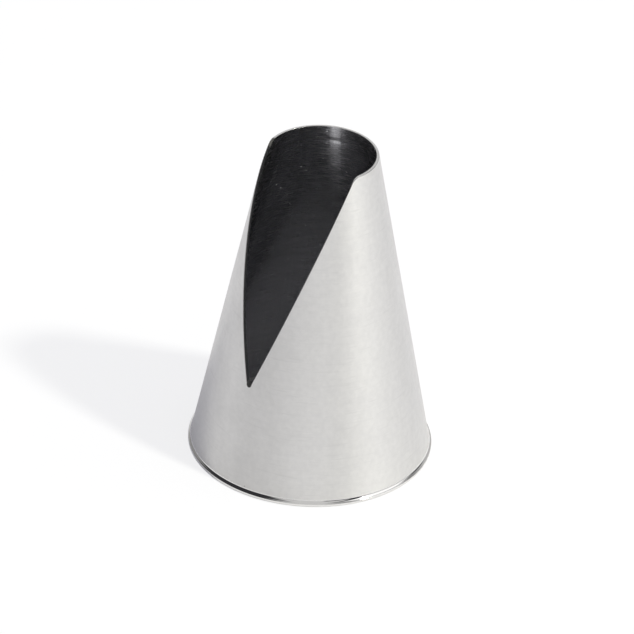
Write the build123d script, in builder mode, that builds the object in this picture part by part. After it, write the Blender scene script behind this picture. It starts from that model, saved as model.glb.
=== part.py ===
from build123d import *

import math
import os

# Piping nozzle: a thin open cone that stands on its wide end, with a V-shaped outlet cut into its
# narrow end. The origin is the centre of the base, +Z runs up the cone's axis, and the outlet faces -Y.
# Lengths are in millimetres and angles in degrees.

# Cone, by the outside of its wall carried down to the base
overall_height = 50.0
mouth_radius = 18.15
tip_radius = 8.38
sheet_thickness = 0.38

# V-shaped outlet: its valley line meets the outside of the cone at valley_height, and falls outwards
valley_height = 15.6
valley_slope = 55.0
valley_radius = 0.6
outlet_angle = 82.3
tip_corner_radius = 1.0

# Base ring: an upright edge that stands out from the cone's foot, and a hollow flare above it
ring_projection = 0.27
ring_edge_height = 0.42
flare_height = 0.43
ring_edge_break = 0.1

# One overrun serves every cut
cut_overrun = 5.0


def cone_radius(height):
    """Outer radius of the cone's wall at a height above the base."""
    return mouth_radius + (tip_radius - mouth_radius) * height / overall_height


# The wall leans in towards the tip, so it is wider than the sheet's thickness when cut level
wall_lean = math.atan2(mouth_radius - tip_radius, overall_height)
level_thickness = sheet_thickness / math.cos(wall_lean)

ring_radius = mouth_radius + ring_projection
ring_height = ring_edge_height + flare_height

# The outlet's cutter is a V with a rounded root, swept along a valley line square to the V's plane
with BuildPart() as outlet_cutter:
    valley_direction = Vector(0, -1, 0).rotate(Axis.X, valley_slope)
    valley_start = Vector(0, -cone_radius(valley_height), valley_height)
    valley_plane = Plane(origin=valley_start, x_dir=(1, 0, 0), z_dir=valley_direction)
    cutter_reach = overall_height + mouth_radius + cut_overrun
    v_half_width = cutter_reach * math.tan(math.radians(outlet_angle / 2))
    with BuildSketch(valley_plane) as outlet_section:
        with BuildLine():
            Polyline((0, 0), (v_half_width, cutter_reach), (-v_half_width, cutter_reach), close=True)
        make_face()
        fillet(outlet_section.vertices().sort_by(Axis.Y)[0], valley_radius)
    extrude(amount=cutter_reach, both=True)

    # A slab on the tip's plane joins the V. Rounding the line where they meet rounds off the two
    # corners where the outlet runs out through the tip.
    with BuildSketch(Plane.XY.offset(overall_height)) as slab_section:
        Rectangle(2 * cutter_reach, 2 * cutter_reach)
    extrude(amount=cut_overrun)
    slab_edges = outlet_cutter.edges().filter_by_position(Axis.Z, overall_height, overall_height)
    v_edges = slab_edges.filter_by(Axis.X, reverse=True).filter_by(Axis.Y, reverse=True)
    fillet(v_edges, tip_corner_radius)

    # The cutter is kept on the outlet's side of the axis, so it leaves the back of the wall whole
    split(bisect_by=Plane.XZ, keep=Keep.TOP)

# The cone is a straight wall that stands on the base ring
with BuildPart() as nozzle_cone:
    with BuildSketch(Plane.XZ) as wall_section:
        with BuildLine():
            Polyline(
                (cone_radius(ring_height), ring_height),
                (tip_radius, overall_height),
                (tip_radius - level_thickness, overall_height),
                (cone_radius(ring_height) - level_thickness, ring_height),
                close=True,
            )
        make_face()
    revolve(axis=Axis.Z)
    add(outlet_cutter.part, mode=Mode.SUBTRACT)

with BuildPart() as base_ring:
    # The flare leaves the wall in line with it and turns out to the ring's upright edge
    with BuildSketch(Plane.XZ) as ring_section:
        with BuildLine():
            flare = TangentArc(
                (cone_radius(ring_height), ring_height),
                (ring_radius, ring_edge_height),
                tangent=(math.sin(wall_lean), -math.cos(wall_lean)),
            )
            Polyline(
                flare @ 1,
                (ring_radius, 0),
                (cone_radius(0) - level_thickness, 0),
                (cone_radius(ring_height) - level_thickness, ring_height),
                flare @ 0,
            )
        make_face()
        fillet(ring_section.vertices().group_by(Axis.X)[-1], ring_edge_break)
    revolve(axis=Axis.Z)

nozzle_cone.part.label = "nozzle_cone"
base_ring.part.label = "base_ring"

os.makedirs("parts", exist_ok=True)
export_step(nozzle_cone.part, "parts/nozzle_cone.step")
export_step(base_ring.part, "parts/base_ring.step")
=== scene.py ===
import math

import bpy
import numpy as np
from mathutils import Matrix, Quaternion, Vector


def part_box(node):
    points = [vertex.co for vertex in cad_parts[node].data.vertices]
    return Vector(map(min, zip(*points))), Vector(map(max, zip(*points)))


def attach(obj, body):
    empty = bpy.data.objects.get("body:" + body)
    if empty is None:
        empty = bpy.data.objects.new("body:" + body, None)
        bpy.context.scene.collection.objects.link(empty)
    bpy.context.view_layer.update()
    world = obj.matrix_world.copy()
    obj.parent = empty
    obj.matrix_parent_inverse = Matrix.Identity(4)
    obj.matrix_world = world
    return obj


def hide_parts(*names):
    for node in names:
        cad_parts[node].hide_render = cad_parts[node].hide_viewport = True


# A piping nozzle: a thin satin steel cone with a V-shaped outlet, on a polished base ring.
# Lengths are in metres and angles in degrees unless a name or a comment says otherwise.
# Azimuth 0 is towards -Y, where the outlet faces, and 90 is towards +X.

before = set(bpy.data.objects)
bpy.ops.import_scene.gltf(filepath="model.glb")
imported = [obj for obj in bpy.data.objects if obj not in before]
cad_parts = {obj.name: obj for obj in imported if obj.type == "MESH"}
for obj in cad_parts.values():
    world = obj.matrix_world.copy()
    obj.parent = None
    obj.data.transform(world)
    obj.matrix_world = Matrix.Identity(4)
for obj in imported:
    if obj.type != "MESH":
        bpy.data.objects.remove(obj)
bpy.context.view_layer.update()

MM = 0.001

# Outlet, as the model has it
valley_height = 15.6 * MM
valley_slope = 55.0
valley_radius = 0.6 * MM
outlet_angle = 82.3
tip_corner_radius = 1.0 * MM

# Base ring, as the model has it
ring_edge_height = 0.42 * MM
ring_edge_break = 0.1 * MM

# The edges of the sheet are slightly rounded, where it is cut and inside its foot
outer_edge_round = 0.09 * MM
inner_edge_round = 0.03 * MM
foot_edge_round = 0.02 * MM

# How finely the meshes are divided. The wall's upright lines stand in sectors, each given by its
# first and last angle from the outlet's direction and its step, and stand closest in the outlet's
# root and at its corners on the tip.
column_sectors = [(0, 4, 0.12), (4, 68, 0.4), (68, 84, 0.15), (84, 180, 0.75)]
flank_points = 12
edge_steps = 4
bisections = 40
ring_step = 0.5
flare_points = 25
ring_edge_steps = 6
foot_edge_steps = 2

# Heights this close to a vertex's, or to the tip's, count as the same
vertex_tolerance = 0.001 * MM
tip_tolerance = 0.01 * MM

# Base colours of the metals
outside_colour = (0.69, 0.683, 0.67)
outside_dark = (0.653, 0.647, 0.636)
outside_light = (0.727, 0.72, 0.707)
scratch_colour = (0.648, 0.642, 0.631)
pit_colour = (0.54, 0.534, 0.523)
# The inside's colours are darker than the outside's, though it is the same sheet: painted shade
# for the inside of the cone
inside_colour = (0.51, 0.508, 0.52)
inside_dark = (0.46, 0.458, 0.472)
inside_light = (0.52, 0.518, 0.532)
dust_colour = (0.8, 0.8, 0.8)
# The outlet's cut face is darker than the tip's edge of the same cut: painted shade
outlet_edge_shaded_colour = (0.42, 0.416, 0.41)
tip_edge_colour = (0.6, 0.594, 0.585)
# Painted shade: a near-black cut face, put where a glint would show at the outlet's root and its
# -X corner
painted_shade_cut_colour = (0.12, 0.119, 0.117)
ring_colour = (0.72, 0.712, 0.7)

# Depths of the metals' marks
outside_line_depth = 0.004 * MM
pit_depth = 0.02 * MM
inside_ring_depth = 0.008 * MM
inside_streak_depth = 0.013 * MM
cut_grain_depth = 0.003 * MM

# A shallow groove runs round the inside, below the tip
groove_height = 47.45 * MM
groove_half_width = 0.7 * MM
groove_depth = 0.022 * MM

# Camera, as the photograph's outlines give it
camera_azimuth = 38.86
camera_elevation = 33.596
camera_distance = 773.6 * MM
camera_roll = 2.482
focal_pixels = 5109.6
picture_pixels = 634
base_centre_pixel = (309.823, 438.18)

# Key light, as the shadow on the floor gives it
key_azimuth = 104.0
key_elevation = 49.0
key_distance = 3.0
key_size = 0.25
key_power = 63.0
key_colour = (1.0, 0.995, 0.9)

# Floor
floor_half_width = 2.0
floor_drop = 0.01 * MM
floor_colour = (0.92, 0.92, 0.93)
floor_white_share = 0.75

# Surroundings: light on dull surfaces, and the dark room that the metal mirrors
fill_colour = (0.6, 0.6, 0.66)
room_colour = (0.04, 0.04, 0.044)

# Panels in that room, each in front of the ones above it in the list. An azimuth is from the
# camera's, and edge and full are cosines of the angle from it, where the panel begins and where it
# has its level. Foot and top are sines of elevations, and fade is how far it fades at either. A
# top of 2 is past the zenith, and an edge and full below -1 go all the way round.
studio_panels = [
    # azimuth, edge, full, foot, top, fade, level
    (-72, 0.4, 0.75, -1.0, 0.09, 0.08, 0.95),  # left, low
    (125, 0.65, 0.85, 0.3, 2.0, 0.1, 0.3),  # behind on the right, high
    (146, 0.9, 0.965, -1.0, 0.62, 0.1, 0.62),  # behind on the right
    (-140, 0.85, 0.95, -1.0, 0.62, 0.1, 0.32),  # behind on the left
    (188, 0.88, 0.985, -1.0, 0.6, 0.15, 1.0),  # backdrop
    (-12, 0.9, 0.985, -1.0, 2.0, 0.1, 0.55),  # front, dimmer on the left
    (3, 0.97, 0.985, -1.0, 2.0, 0.1, 0.75),  # front
    (8, 0.84, 0.88, 0.33, 2.0, 0.1, 0.75),  # front, wider above
    (0, -3.0, -2.0, 0.97, 2.0, 0.02, 0.75),  # overhead
    (77, 0.85, 0.95, 0.08, 0.4, 0.05, 1.0),  # soft box, its dimmer foot
    (77, 0.89, 0.92, 0.35, 0.93, 0.05, 1.4),  # soft box
    (92, 0.84, 0.9, 0.66, 0.93, 0.03, 1.4),  # soft box, wider at its top
]


def node_radii(node, height):
    """Inner and outer radius of a round node at a height where it has vertices."""
    points = np.array([v.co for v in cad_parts[node].data.vertices], float)
    level = points[np.abs(points[:, 2] - height) < vertex_tolerance]
    radii = np.hypot(level[:, 0], level[:, 1])
    return float(radii.min()), float(radii.max())


foot_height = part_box("nozzle_cone")[0].z
overall_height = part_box("nozzle_cone")[1].z
foot_inner_radius, foot_radius = node_radii("nozzle_cone", foot_height)
tip_radius = node_radii("nozzle_cone", overall_height)[1]
level_thickness = foot_radius - foot_inner_radius
ring_radius = min(abs(side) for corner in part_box("base_ring") for side in corner.xy)
taper = (foot_radius - tip_radius) / (overall_height - foot_height)
wall_lean = math.atan(taper)


def cone_radius(height, inset=0.0):
    """Radius of the wall at a height: outside, or further in by inset."""
    return foot_radius - taper * (height - foot_height) - inset


# Shape of the outlet

half_angle = math.radians(outlet_angle / 2)
valley_fall = math.radians(valley_slope)
valley_start = np.array([0.0, -cone_radius(valley_height), valley_height])
depth_direction = np.array([0.0, -math.sin(valley_fall), math.cos(valley_fall)])
root_centre = valley_radius / math.sin(half_angle)
# Cosine of the angle between the directions square to the valley's side and to the tip's plane
corner_turn = math.sin(half_angle) * depth_direction[2]


def past_outlet(points):
    """How far points are past the outlet's cut, with its rounded root and tip corners."""
    across = np.abs(points[..., 0])
    depth = (points - valley_start) @ depth_direction
    from_side = depth * math.sin(half_angle) - across * math.cos(half_angle)
    from_root = valley_radius - np.hypot(across, depth - root_centre)
    in_root = across * math.tan(half_angle) < root_centre - depth
    from_valley = np.where(in_root, from_root, from_side)
    from_tip = points[..., 2] - overall_height
    # The valley's side and the tip's plane meet at a rounded corner
    u = from_valley + tip_corner_radius
    v = from_tip + tip_corner_radius
    apart = np.maximum(u * u + v * v - 2 * u * v * corner_turn, 0)
    corner = np.sqrt(apart / (1 - corner_turn * corner_turn))
    past = np.where(v * corner_turn > u, v, np.where(u * corner_turn > v, u, corner))
    # The cut is on the outlet's side of the axis only
    return np.where(points[..., 1] < 0, past - tip_corner_radius, from_tip)


def wall_points(angles, heights, inset):
    """Points of the wall at angles from the outlet's direction, in radians."""
    radii = cone_radius(heights, inset)
    return np.stack([radii * np.sin(angles), -radii * np.cos(angles), heights], -1)


def cut_heights(angles, inset):
    """Height at which each of the wall's upright lines ends, at the cut or at the tip."""
    low = np.full_like(angles, foot_height)
    high = np.full_like(angles, overall_height)
    for _ in range(bisections):
        middle = (low + high) / 2
        cut = past_outlet(wall_points(angles, middle, inset)) > 0
        high = np.where(cut, middle, high)
        low = np.where(cut, low, middle)
    return high


# Meshes


def unit(vectors):
    return vectors / np.linalg.norm(vectors, axis=-1, keepdims=True)


def closed_difference(points):
    """Direction along a closed row of points, at each point."""
    return unit(np.roll(points, -1, axis=0) - np.roll(points, 1, axis=0))


def bend(before, corner, after, share):
    """Point at a share of the way along a curve from before to after, near the corner."""
    t = share
    return before * (1 - t) ** 2 + corner * (2 * t * (1 - t)) + after * t * t


def swept_mesh(name, rows, normals, row_materials):
    """A closed mesh from rows of points round the axis, each row as long as the others.

    A row's material is a slot for the whole row, or a slot for each of its faces.
    """
    count, length = len(rows), len(rows[0])
    faces = []
    materials = []
    for k in range(count):
        here = k * length
        there = (k + 1) % count * length
        for j in range(length):
            n = (j + 1) % length
            faces.append((here + j, here + n, there + n, there + j))
        materials.extend(np.broadcast_to(row_materials[k], length).tolist())
    mesh = bpy.data.meshes.new(name)
    mesh.from_pydata(np.concatenate(rows).tolist(), [], faces)
    mesh.polygons.foreach_set("material_index", materials)
    mesh.polygons.foreach_set("use_smooth", [True] * len(faces))
    mesh.normals_split_custom_set_from_vertices(np.concatenate(normals).tolist())
    mesh.validate(clean_customdata=False)
    mesh.update()
    return mesh


def round_edge(before, corner, after, normal_before, normal_after):
    """Rows of points and normals on a curve from before to after, near the corner."""
    shares = [k / edge_steps for k in range(edge_steps + 1)]
    rows = [bend(before, corner, after, t) for t in shares]
    normals = [unit(normal_before * (1 - t) + normal_after * t) for t in shares]
    return rows, normals


def column_angles():
    """Angles of the wall's upright lines all the way round, in radians."""
    half = np.concatenate([np.arange(a, b - s / 2, s) for a, b, s in column_sectors])
    return np.radians(np.concatenate([half, [180], -half[:0:-1]]))


# The cone's material slots
OUTSIDE, OUTLET_EDGE, INSIDE, TIP_EDGE, SHADED_CUT = range(5)


def cut_face_slots(points):
    """Material slots of the cut face, at points along its outer edge.

    It is rougher in the outlet's root and at the outlet's corner on the -X side, and painted near
    black there: painted shade where a glint would show.
    """
    x, y, z = points.T
    at_outlet = z < overall_height - tip_tolerance
    corner_start = overall_height - tip_corner_radius * (1 - corner_turn)
    at_corner = at_outlet & (z > corner_start) & (x < 0)
    at_root = (y < 0) & (np.abs(x) < valley_radius * math.cos(half_angle))
    slots = np.where(at_outlet, OUTLET_EDGE, TIP_EDGE)
    return np.where(at_corner | at_root, SHADED_CUT, slots)


def nozzle_cone_mesh():
    """The wall: up the outside, over the cut face with its two rounded edges, down the inside."""
    angles = column_angles()
    flat = np.zeros_like(angles)
    lean_in, lean_up = math.cos(wall_lean), math.sin(wall_lean)
    radial = np.stack([np.sin(angles), -np.cos(angles), flat], -1)
    upward = np.array([0.0, 0.0, 1.0])
    out_normal = radial * lean_in + upward * lean_up
    down_line = radial * lean_up - upward * lean_in

    def edge(inset):
        points = wall_points(angles, cut_heights(angles, inset), inset)
        along = closed_difference(points)
        slant = np.linalg.norm(np.cross(along, down_line), axis=-1, keepdims=True)
        return points, along, slant

    outer, along, outer_slant = edge(0.0)
    inner, _, inner_slant = edge(level_thickness)
    across = unit(inner - outer)
    cut_normal = unit(np.cross(along, across))
    outer_flank = outer + down_line * outer_edge_round / outer_slant
    inner_flank = inner + down_line * inner_edge_round / inner_slant
    outer_lip = outer + across * outer_edge_round
    inner_lip = inner - across * inner_edge_round

    def flank_rows(foot, flank):
        return [foot + (flank - foot) * share for share in np.linspace(0, 1, flank_points)]

    outer_foot = wall_points(angles, flat + foot_height, 0.0)
    inner_foot = wall_points(angles, flat + foot_height, level_thickness)
    rows, normals, materials = [], [], []

    def add(new_rows, new_normals, material):
        rows.extend(new_rows)
        normals.extend(new_normals)
        materials.extend([material] * len(new_rows))

    outside = flank_rows(outer_foot, outer_flank)[:-1]
    add(outside, [out_normal] * len(outside), OUTSIDE)
    cut_face = cut_face_slots(outer)
    add(*round_edge(outer_flank, outer, outer_lip, out_normal, cut_normal), cut_face)
    add(*round_edge(inner_lip, inner, inner_flank, cut_normal, -out_normal), cut_face)
    # The last row's faces already lie on the inside
    materials[-1] = INSIDE
    inside = flank_rows(inner_foot, inner_flank)[-2::-1]
    add(inside, [-out_normal] * len(inside), INSIDE)
    return swept_mesh("nozzle_cone_wall", rows, normals, materials)


def base_ring_mesh():
    """The ring's section, turned round the axis: flare, upright edge, foot and inside."""
    lean = np.array([math.sin(wall_lean), -math.cos(wall_lean)])
    start = np.array([foot_radius, foot_height])
    end = np.array([ring_radius, ring_edge_height])
    # The flare is an arc that leaves the wall in line with it
    chord = end - start
    side = np.array([-lean[1], lean[0]])
    radius = chord @ chord / (2 * chord @ side)
    centre = start + side * radius
    first = math.atan2(*(start - centre)[::-1])
    last = math.atan2(*(end - centre)[::-1])
    section = []
    for angle in np.linspace(first, last, flare_points):
        spoke = np.array([math.cos(angle), math.sin(angle)])
        section.append((centre + spoke * radius, -spoke))
    # The arc stops where the rounded rim begins
    rim = ring_edge_break
    section = [s for s in section if s[0][0] < ring_radius - rim]
    sideways, downward = np.array([1.0, 0.0]), np.array([0.0, -1.0])

    def corner(before, at, after, normal_before, normal_after, steps=ring_edge_steps):
        for k in range(steps + 1):
            t = k / steps
            normal = unit(normal_before * (1 - t) + normal_after * t)
            section.append((bend(before, at, after, t), normal))

    flare_end, flare_normal = section.pop()
    corner(flare_end, end, end + downward * rim, flare_normal, sideways)
    foot = np.array([ring_radius, 0.0])
    corner(foot - downward * rim, foot, foot - sideways * rim, sideways, downward)
    inside = np.array([foot_inner_radius + taper * foot_height, 0.0])
    inside_top = np.array([foot_inner_radius, foot_height])
    into = np.array([-math.cos(wall_lean), -math.sin(wall_lean)])
    before = inside + sideways * foot_edge_round
    after = inside - downward * foot_edge_round
    corner(before, inside, after, downward, into, foot_edge_steps)
    section.append((inside_top, into))

    angles = np.radians(np.arange(0, 360, ring_step))
    rows, normals = [], []
    for (radius, height), (outward, up) in section:
        ring = [radius * np.sin(angles), -radius * np.cos(angles), np.full_like(angles, height)]
        facing = [outward * np.sin(angles), -outward * np.cos(angles), np.full_like(angles, up)]
        rows.append(np.stack(ring, -1))
        normals.append(np.stack(facing, -1))
    # The rows run down the outside, so they are turned to face outwards
    return swept_mesh("base_ring_surface", rows[::-1], normals[::-1], [0] * len(rows))


# Materials


def rgba(colour):
    return (*colour, 1.0)


class Nodes:
    """A node tree, with short ways to add a node and join it to others."""

    def __init__(self, tree):
        self.tree = tree

    def set(self, node, socket, value):
        """Puts a value in a node's socket, or joins another node's output to it."""
        if isinstance(value, bpy.types.NodeSocket):
            self.tree.links.new(value, node.inputs[socket])
        else:
            node.inputs[socket].default_value = value

    def node(self, kind, inputs=(), **settings):
        node = self.tree.nodes.new("ShaderNode" + kind)
        for name, value in settings.items():
            setattr(node, name, value)
        for socket, value in dict(inputs).items():
            self.set(node, socket, value)
        return node

    def math(self, operation, first, second=0.0):
        return self.node("Math", {0: first, 1: second}, operation=operation).outputs[0]

    def vector(self, operation, first, second=(0, 0, 0)):
        node = self.node("VectorMath", {0: first, 1: second}, operation=operation)
        return node.outputs["Value" if operation in ("DOT_PRODUCT", "LENGTH") else "Vector"]

    def mix(self, share, first, second):
        """One colour where share is 0, and the other where it is 1."""
        node = self.node("Mix", {"Factor": share}, data_type="RGBA")
        self.set(node, "A", first)
        self.set(node, "B", second)
        return node.outputs["Result"]

    def remap(self, value, low, high, new_low, new_high, smooth=False):
        inputs = {
            "Value": value,
            "From Min": low,
            "From Max": high,
            "To Min": new_low,
            "To Max": new_high,
        }
        kind = "SMOOTHSTEP" if smooth else "LINEAR"
        return self.node("MapRange", inputs, interpolation_type=kind).outputs["Result"]

    def weighted(self, *terms):
        """Sum of values, each times its share."""
        total = None
        for value, share in terms:
            part = self.math("MULTIPLY", value, share)
            total = part if total is None else self.math("ADD", total, part)
        return total


class Surface(Nodes):
    """A metal's node tree."""

    def __init__(self, name, colour, roughness, anisotropy=0.0):
        self.material = bpy.data.materials.new(name)
        self.material.use_nodes = True
        super().__init__(self.material.node_tree)
        self.shader = self.tree.nodes["Principled BSDF"]
        self.set(self.shader, "Base Color", rgba(colour))
        self.set(self.shader, "Metallic", 1.0)
        self.set(self.shader, "Roughness", roughness)
        # The lines run round the axis, so a highlight is drawn out along the wall
        self.set(self.shader, "Anisotropic", anisotropy)
        self.set(self.shader, "Anisotropic Rotation", 0.25)

    def place(self):
        return self.node("TexCoord").outputs["Object"]

    def round_axis(self, around, up):
        """Seamless coordinates: on a circle of radius around, and rising by up for each metre."""
        place = self.place()
        level = self.vector("NORMALIZE", self.vector("MULTIPLY", place, (1, 1, 0)))
        level = self.vector("MULTIPLY", level, (around, around, 0))
        rising = self.vector("MULTIPLY", place, (0, 0, up))
        return self.vector("ADD", level, rising)

    def noise(self, place, detail=3.0, scale=1.0):
        inputs = {"Vector": place, "Scale": scale, "Detail": detail, "Roughness": 0.55}
        return self.node("TexNoise", inputs).outputs["Fac"]

    def specks(self, per_metre, share, size):
        """1 in small round specks, which a share of the cells have that fill the space."""
        cells = self.node("TexVoronoi", {"Vector": self.place(), "Scale": per_metre})
        pick = self.node("SeparateColor", {0: cells.outputs["Color"]}).outputs["Red"]
        near = self.remap(cells.outputs["Distance"], size * 0.5, size, 1.0, 0.0, smooth=True)
        return self.math("MULTIPLY", self.math("LESS_THAN", pick, share), near)

    def bump(self, height, distance, normal=None):
        inputs = {"Height": height, "Distance": distance, "Strength": 1.0}
        if normal is not None:
            inputs["Normal"] = normal
        return self.node("Bump", inputs).outputs["Normal"]

    def two_tones(self, tone, dark, light):
        """From the dark colour to the light one over the middle of a noise's range."""
        return self.mix(self.remap(tone, 0.35, 0.65, 0.0, 1.0), rgba(dark), rgba(light))


def brushed_outside():
    s = Surface("satin_steel_outside", outside_colour, 0.46, anisotropy=0.55)
    fine = s.noise(s.round_axis(around=5.0, up=9000.0), detail=4.0)
    broad = s.noise(s.round_axis(around=2.0, up=1400.0))
    bands = s.noise(s.round_axis(around=5.0, up=25.0))
    cloud = s.noise(s.round_axis(around=3.0, up=160.0), detail=4.0)
    grain = s.noise(s.place(), detail=4.0, scale=1200.0)
    lines = s.weighted((fine, 0.6), (broad, 0.4))
    tone = s.weighted((lines, 0.35), (grain, 0.45), (bands, 0.2))
    colour = s.two_tones(tone, outside_dark, outside_light)
    marks = s.noise(s.round_axis(around=3.0, up=2600.0), detail=2.0)
    scratches = s.remap(marks, 0.6, 0.75, 0.0, 1.0)
    colour = s.mix(scratches, colour, rgba(scratch_colour))
    pits = s.specks(per_metre=170.0, share=0.6, size=0.03)
    s.set(s.shader, "Base Color", s.mix(pits, colour, rgba(pit_colour)))
    s.set(s.shader, "Roughness", s.remap(s.math("ADD", lines, cloud), 0.6, 1.4, 0.4, 0.52))
    pitted = s.bump(pits, -pit_depth)
    s.set(s.shader, "Normal", s.bump(lines, outside_line_depth, normal=pitted))
    return s.material


# The inside's darker base colours are painted shade
def shaded_inside():
    s = Surface("satin_steel_inside", inside_colour, 0.22, anisotropy=0.3)
    rings = s.noise(s.round_axis(around=0.6, up=1300.0), detail=4.0)
    streaks = s.noise(s.round_axis(around=40.0, up=60.0), detail=2.0)
    fine = s.noise(s.round_axis(around=6.0, up=14000.0), detail=2.0)
    height = s.node("SeparateXYZ", {0: s.place()}).outputs["Z"]
    off_groove = s.math("ABSOLUTE", s.math("SUBTRACT", height, groove_height))
    groove = s.remap(off_groove, 0.0, groove_half_width, 1.0, 0.0, smooth=True)
    dust = s.specks(per_metre=1000.0, share=0.45, size=0.115)
    colour = s.two_tones(s.weighted((rings, 0.6), (streaks, 0.4)), inside_dark, inside_light)
    s.set(s.shader, "Base Color", s.mix(dust, colour, rgba(dust_colour)))
    s.set(s.shader, "Metallic", s.remap(dust, 0.0, 1.0, 1.0, 0.0))
    s.set(s.shader, "Roughness", s.remap(fine, 0.3, 0.7, 0.1, 0.32))
    grooved = s.bump(groove, -groove_depth)
    ringed = s.bump(rings, inside_ring_depth, normal=grooved)
    s.set(s.shader, "Normal", s.bump(streaks, inside_streak_depth, normal=ringed))
    return s.material


def cut_edge(name, colour, smoothest, roughest):
    s = Surface(name, colour, (smoothest + roughest) / 2)
    grain = s.noise(s.place(), scale=9000.0)
    s.set(s.shader, "Roughness", s.remap(grain, 0.3, 0.7, smoothest, roughest))
    s.set(s.shader, "Normal", s.bump(grain, cut_grain_depth))
    return s.material


def polished_ring():
    s = Surface("polished_steel_ring", ring_colour, 0.06)
    lines = s.noise(s.round_axis(around=3.0, up=9000.0), detail=2.0)
    s.set(s.shader, "Roughness", s.remap(lines, 0.3, 0.7, 0.03, 0.1))
    return s.material


# Floor, light and camera


def direction(azimuth, elevation):
    """Unit vector towards a place seen from the base's centre."""
    a, e = math.radians(azimuth), math.radians(elevation)
    return Vector((math.sin(a) * math.cos(e), -math.cos(a) * math.cos(e), math.sin(e)))


def make_floor():
    """A white floor just below the foot, which takes the shadow."""
    mesh = bpy.data.meshes.new("floor")
    w = floor_half_width
    corners = [(x, y, -floor_drop) for x, y in ((-w, -w), (w, -w), (w, w), (-w, w))]
    mesh.from_pydata(corners, [], [(0, 1, 2, 3)])
    floor = bpy.data.objects.new("floor", mesh)
    bpy.context.scene.collection.objects.link(floor)
    material = bpy.data.materials.new("floor")
    material.use_nodes = True
    n = Nodes(material.node_tree)
    n.tree.nodes.clear()
    lit = n.node("BsdfDiffuse", {"Color": rgba(floor_colour)}).outputs[0]
    glow = n.node("Emission", {"Color": (1.0, 1.0, 1.0, 1.0)}).outputs[0]
    clear = n.node("BsdfTransparent").outputs[0]
    geometry = n.node("NewGeometry")
    # Outside the ring the camera sees most of the floor as plain white
    place = n.vector("MULTIPLY", geometry.outputs["Position"], (1, 1, 0))
    outside = n.math("GREATER_THAN", n.vector("LENGTH", place), ring_radius)
    seen = n.math("MULTIPLY", n.node("LightPath").outputs["Is Camera Ray"], outside)
    white = n.math("MULTIPLY", seen, floor_white_share)
    above = n.node("MixShader", {0: white, 1: lit, 2: glow}).outputs[0]
    # From underneath the floor is clear, so that the object's foot shows
    surface = n.node("MixShader", {0: geometry.outputs["Backfacing"], 1: above, 2: clear})
    n.node("OutputMaterial", {"Surface": surface.outputs[0]})
    mesh.materials.append(material)


def make_world():
    """White for the camera, a plain fill for dull surfaces, and the studio's panels for metal."""
    world = bpy.data.worlds.new("studio")
    bpy.context.scene.world = world
    world.use_nodes = True
    world.cycles.sampling_method = "NONE"
    n = Nodes(world.node_tree)
    towards = n.node("TexCoord").outputs["Generated"]
    height = n.node("SeparateXYZ", {0: towards}).outputs["Z"]
    level_towards = n.vector("NORMALIZE", n.vector("MULTIPLY", towards, (1, 1, 0)))
    metal_sees = rgba(room_colour)
    for azimuth, edge, full, foot, top, fade, level in studio_panels:
        middle = direction(camera_azimuth + azimuth, 0)
        facing = n.vector("DOT_PRODUCT", level_towards, tuple(middle))
        across = n.remap(facing, edge, full, 0.0, 1.0, smooth=True)
        rising = n.remap(height, foot - fade, foot + fade, 0.0, 1.0, smooth=True)
        falling = n.remap(height, top - fade, top + fade, 1.0, 0.0, smooth=True)
        panel = n.math("MULTIPLY", across, n.math("MULTIPLY", rising, falling))
        metal_sees = n.mix(panel, metal_sees, rgba([level] * 3))
    path = n.node("LightPath").outputs
    shown = n.mix(path["Is Glossy Ray"], rgba(fill_colour), metal_sees)
    seen_directly = n.math("MAXIMUM", path["Is Camera Ray"], path["Is Transmission Ray"])
    shown = n.mix(seen_directly, shown, (1, 1, 1, 1))
    n.set(n.tree.nodes["Background"], "Color", shown)


def make_key_lamp():
    lamp = bpy.data.lights.new("key", "AREA")
    lamp.shape = "RECTANGLE"
    lamp.size = lamp.size_y = key_size
    lamp.energy = key_power
    lamp.color = key_colour
    place = bpy.data.objects.new("key", lamp)
    towards = direction(key_azimuth, key_elevation)
    place.location = towards * key_distance
    place.rotation_mode = "QUATERNION"
    place.rotation_quaternion = towards.to_track_quat("Z", "Y")
    bpy.context.scene.collection.objects.link(place)


def make_camera():
    camera = bpy.data.cameras.new("camera")
    camera.sensor_width = 36.0
    camera.lens = focal_pixels * camera.sensor_width / picture_pixels
    camera.clip_start, camera.clip_end = 0.05, 20.0
    place = bpy.data.objects.new("camera", camera)
    bpy.context.scene.collection.objects.link(place)
    bpy.context.scene.camera = place
    back = direction(camera_azimuth, camera_elevation)
    place.location = back * camera_distance
    level = (-back).to_track_quat("-Z", "Y")
    roll = Quaternion((0, 0, 1), math.radians(camera_roll))
    # The camera turns until the base's centre falls on its pixel
    middle = picture_pixels / 2
    right, down = (p - middle for p in base_centre_pixel)
    ray = Vector((right, -down, -focal_pixels)).normalized()
    aim = ray.rotation_difference(Vector((0, 0, -1)))
    place.rotation_mode = "QUATERNION"
    place.rotation_quaternion = level @ roll @ aim


def add_piece(mesh, name, node, materials):
    piece = bpy.data.objects.new(name, mesh)
    bpy.context.scene.collection.objects.link(piece)
    for material in materials:
        mesh.materials.append(material)
    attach(piece, "root")
    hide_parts(node)


# In the order of the cone's material slots
cone_materials = [
    brushed_outside(),
    # The outlet edge's darker colour is painted shade
    cut_edge("satin_steel_outlet_edge", outlet_edge_shaded_colour, smoothest=0.1, roughest=0.16),
    shaded_inside(),
    cut_edge("satin_steel_tip_edge", tip_edge_colour, smoothest=0.16, roughest=0.24),
    # Painted shade on the cut face at the outlet's root and its -X corner
    cut_edge("satin_steel_painted_shade_cut", painted_shade_cut_colour, smoothest=0.7, roughest=0.8),
]
add_piece(nozzle_cone_mesh(), "cone_wall", "nozzle_cone", cone_materials)
add_piece(base_ring_mesh(), "foot_ring", "base_ring", [polished_ring()])
make_floor()
make_world()
make_key_lamp()
make_camera()
bpy.context.scene.view_settings.view_transform = "Standard"
